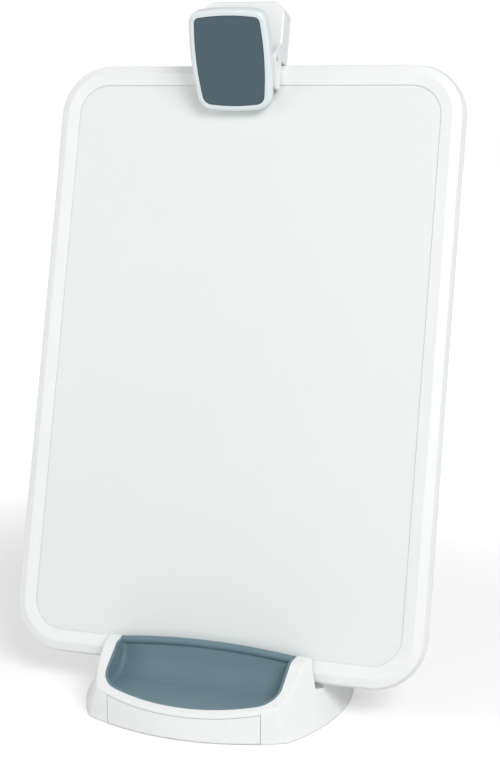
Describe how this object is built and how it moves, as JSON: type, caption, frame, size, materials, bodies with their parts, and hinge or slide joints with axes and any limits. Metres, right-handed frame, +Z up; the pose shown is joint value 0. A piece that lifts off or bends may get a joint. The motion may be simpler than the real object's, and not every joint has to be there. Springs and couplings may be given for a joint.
{
  "type": "document holder with drawer",
  "caption": "Leaning writing board in a flared white base with a grey scoop and shallow drawer, and a squeeze clip on its upper edge.",
  "frame": {"origin": "middle of the whole object's box, on the desk", "axes": "+X to the user's right along the desk, +Y away from the user, +Z up"},
  "size_m": [0.2496, 0.166, 0.3992],
  "materials": {
    "white_shell": "satin moulded white",
    "painted_panel": "smooth satin white coating",
    "fibreboard_core": "raw pressed board",
    "soft_touch_grey": "fine matte blue-grey",
    "rubber_grey": "matte",
    "zinc_steel": "zinc plated",
    "spring_steel": "bright drawn wire"
  },
  "bodies": {
    "base": {"base_shell": "white_shell", "scoop_insert": "soft_touch_grey", "base_cover": "white_shell", "cover_screws": "zinc_steel", "foot_front_left": "rubber_grey", "foot_front_right": "rubber_grey", "foot_rear_left": "rubber_grey", "foot_rear_right": "rubber_grey", "board_frame": "white_shell", "writing_panel": "painted_panel", "board_core": "fibreboard_core", "board_back": "white_shell", "back_screws": "zinc_steel", "mount_screws": "zinc_steel"},
    "drawer": {"drawer_tray": "white_shell", "drawer_front": "white_shell", "drawer_screws": "zinc_steel"},
    "clip": {"clip_saddle": "white_shell", "saddle_pad": "rubber_grey", "clip_pin": "spring_steel", "clip_spring": "spring_steel"},
    "clip_lever_body": {"clip_lever": "white_shell", "clip_pad": "soft_touch_grey", "clip_jaw": "rubber_grey"}
  },
  "joints": [
    {"name": "drawer_slide", "type": "slide", "parent": "base", "child": "drawer", "axis": [0, -1, 0], "range_m": [0, 0.07]},
    {"name": "clip_slide", "type": "slide", "parent": "base", "child": "clip", "axis": [1, 0, 0], "range_m": [-0.054, 0.074]},
    {"name": "clip_squeeze", "type": "hinge", "parent": "clip", "child": "clip_lever_body", "pos_m": [-0.01, 0.05238, 0.36537], "axis": [-1, 0, 0], "range_deg": [0, 25], "stiffness_Nm_per_rad": 0.09, "springref_deg": -63.03, "deforming": ["clip_spring"]}
  ]
}
